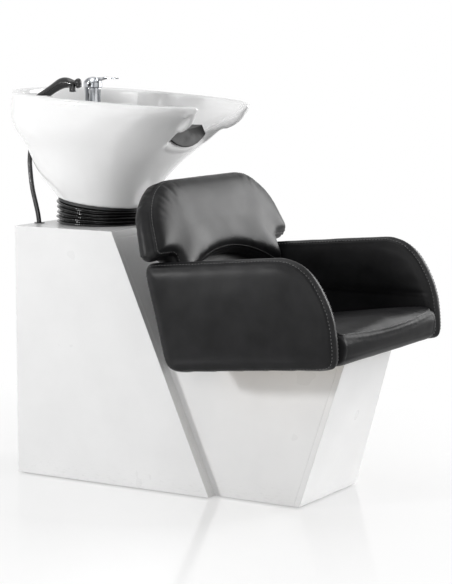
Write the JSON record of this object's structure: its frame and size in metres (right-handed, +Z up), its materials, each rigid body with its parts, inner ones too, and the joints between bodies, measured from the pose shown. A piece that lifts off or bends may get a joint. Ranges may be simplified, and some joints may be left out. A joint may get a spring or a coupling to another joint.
{
  "type": "hair washing bed",
  "caption": "Salon backwash unit: a tilting ceramic basin with mixer tap and hand shower on a white cabinet, with a padded black armchair in front.",
  "frame": {"origin": "on the floor, in the middle of the four anchor holes of the floor frame", "axes": "+Z up; +Y from the seat towards the basin's rear; +X to the left hand of the person in the seat"},
  "size_m": [0.6466, 1.0402, 1.0124],
  "materials": {
    "white_lacquer": "gloss",
    "plywood": "satin",
    "black_plywood": "satin",
    "black_leatherette": "satin",
    "black_painted_steel": "satin",
    "zinc_plated_steel": "satin",
    "stainless_steel": "satin",
    "glazed_ceramic": "gloss",
    "grey_rubber": "matt",
    "black_rubber": "gloss",
    "braided_hose": "satin",
    "grey_plastic": "matt",
    "black_gloss_plastic": "gloss",
    "chromed_brass": "mirror",
    "brass": "satin"
  },
  "bodies": {
    "base": {"cabinet_side_left": "white_lacquer", "cabinet_side_right": "white_lacquer", "cabinet_front": "white_lacquer", "cabinet_top": "white_lacquer", "pedestal_side_left": "white_lacquer", "pedestal_side_right": "white_lacquer", "pedestal_front": "white_lacquer", "pedestal_top": "white_lacquer", "seat_board": "plywood", "arm_board_left": "plywood", "arm_board_right": "plywood", "backrest_board": "black_plywood", "seat_cushion": "black_leatherette", "arm_pad_left": "black_leatherette", "arm_pad_right": "black_leatherette", "backrest_cushion": "black_leatherette", "floor_frame": "black_painted_steel", "seat_frame_left": "black_painted_steel", "seat_frame_right": "black_painted_steel", "basin_stand": "black_painted_steel", "tilt_cradle": "black_painted_steel", "backrest_brackets": "black_painted_steel", "trap_bracket": "black_painted_steel", "pipe_plate": "black_painted_steel", "bellows_lower_ring": "black_painted_steel", "seat_bolts": "zinc_plated_steel", "arm_bolts": "zinc_plated_steel", "backrest_bolts": "zinc_plated_steel", "tilt_pins": "zinc_plated_steel", "levelling_feet": "zinc_plated_steel", "bellows": "black_rubber", "shower_hose": "black_rubber", "shower_hose_loop": "black_rubber", "supply_hoses": "braided_hose", "waste_hose": "grey_plastic", "waste_trap": "grey_plastic", "panel_catches": "grey_plastic", "hose_port_ring": "black_gloss_plastic", "inlet_couplings": "brass"},
    "basin_body": {"basin": "glazed_ceramic", "neck_rest": "grey_rubber", "tilt_plate": "black_painted_steel", "tilt_bushes": "grey_plastic", "tilt_plate_bolts": "zinc_plated_steel", "bellows_upper_ring": "black_painted_steel", "waste_flange": "stainless_steel", "waste_nut": "grey_plastic", "mixer_body": "chromed_brass", "mixer_cartridge": "grey_plastic", "mixer_nut": "chromed_brass", "handset_socket": "black_gloss_plastic", "shower_hose_upper": "black_rubber"},
    "mixer_cap_body": {"mixer_cap": "chromed_brass"},
    "mixer_lever_body": {"mixer_lever": "chromed_brass", "lever_pin": "chromed_brass"},
    "handset_body": {"handset": "black_gloss_plastic", "handset_nozzle": "black_gloss_plastic"},
    "strainer_body": {"strainer": "stainless_steel"},
    "panel_body": {"access_panel": "white_lacquer"}
  },
  "joints": [
    {"name": "basin_tilt", "type": "hinge", "parent": "base", "child": "basin_body", "pos_m": [0, 0.1425, 0.668], "axis": [1, 0, 0], "range_deg": [-15, 8], "deforming": ["bellows", "shower_hose", "shower_hose_loop", "supply_hoses", "waste_hose"]},
    {"name": "mixer_turn", "type": "hinge", "parent": "basin_body", "child": "mixer_cap_body", "pos_m": [0.055, 0.206, 0.9842], "axis": [0, 0, 1], "range_deg": [-50, 50]},
    {"name": "lever_lift", "type": "hinge", "parent": "mixer_cap_body", "child": "mixer_lever_body", "pos_m": [0.055, 0.222, 1.0017], "axis": [-1, 0, 0], "range_deg": [0, 18]},
    {"name": "handset_pull", "type": "slide", "parent": "basin_body", "child": "handset_body", "axis": [0, 0, 1], "range_m": [0, 0.2], "deforming": ["shower_hose_upper"]},
    {"name": "strainer_lift", "type": "slide", "parent": "basin_body", "child": "strainer_body", "axis": [0, 0, 1], "range_m": [0, 0.1]},
    {"name": "panel_off", "type": "slide", "parent": "base", "child": "panel_body", "axis": [0, 1, 0], "range_m": [0, 0.1]}
  ]
}
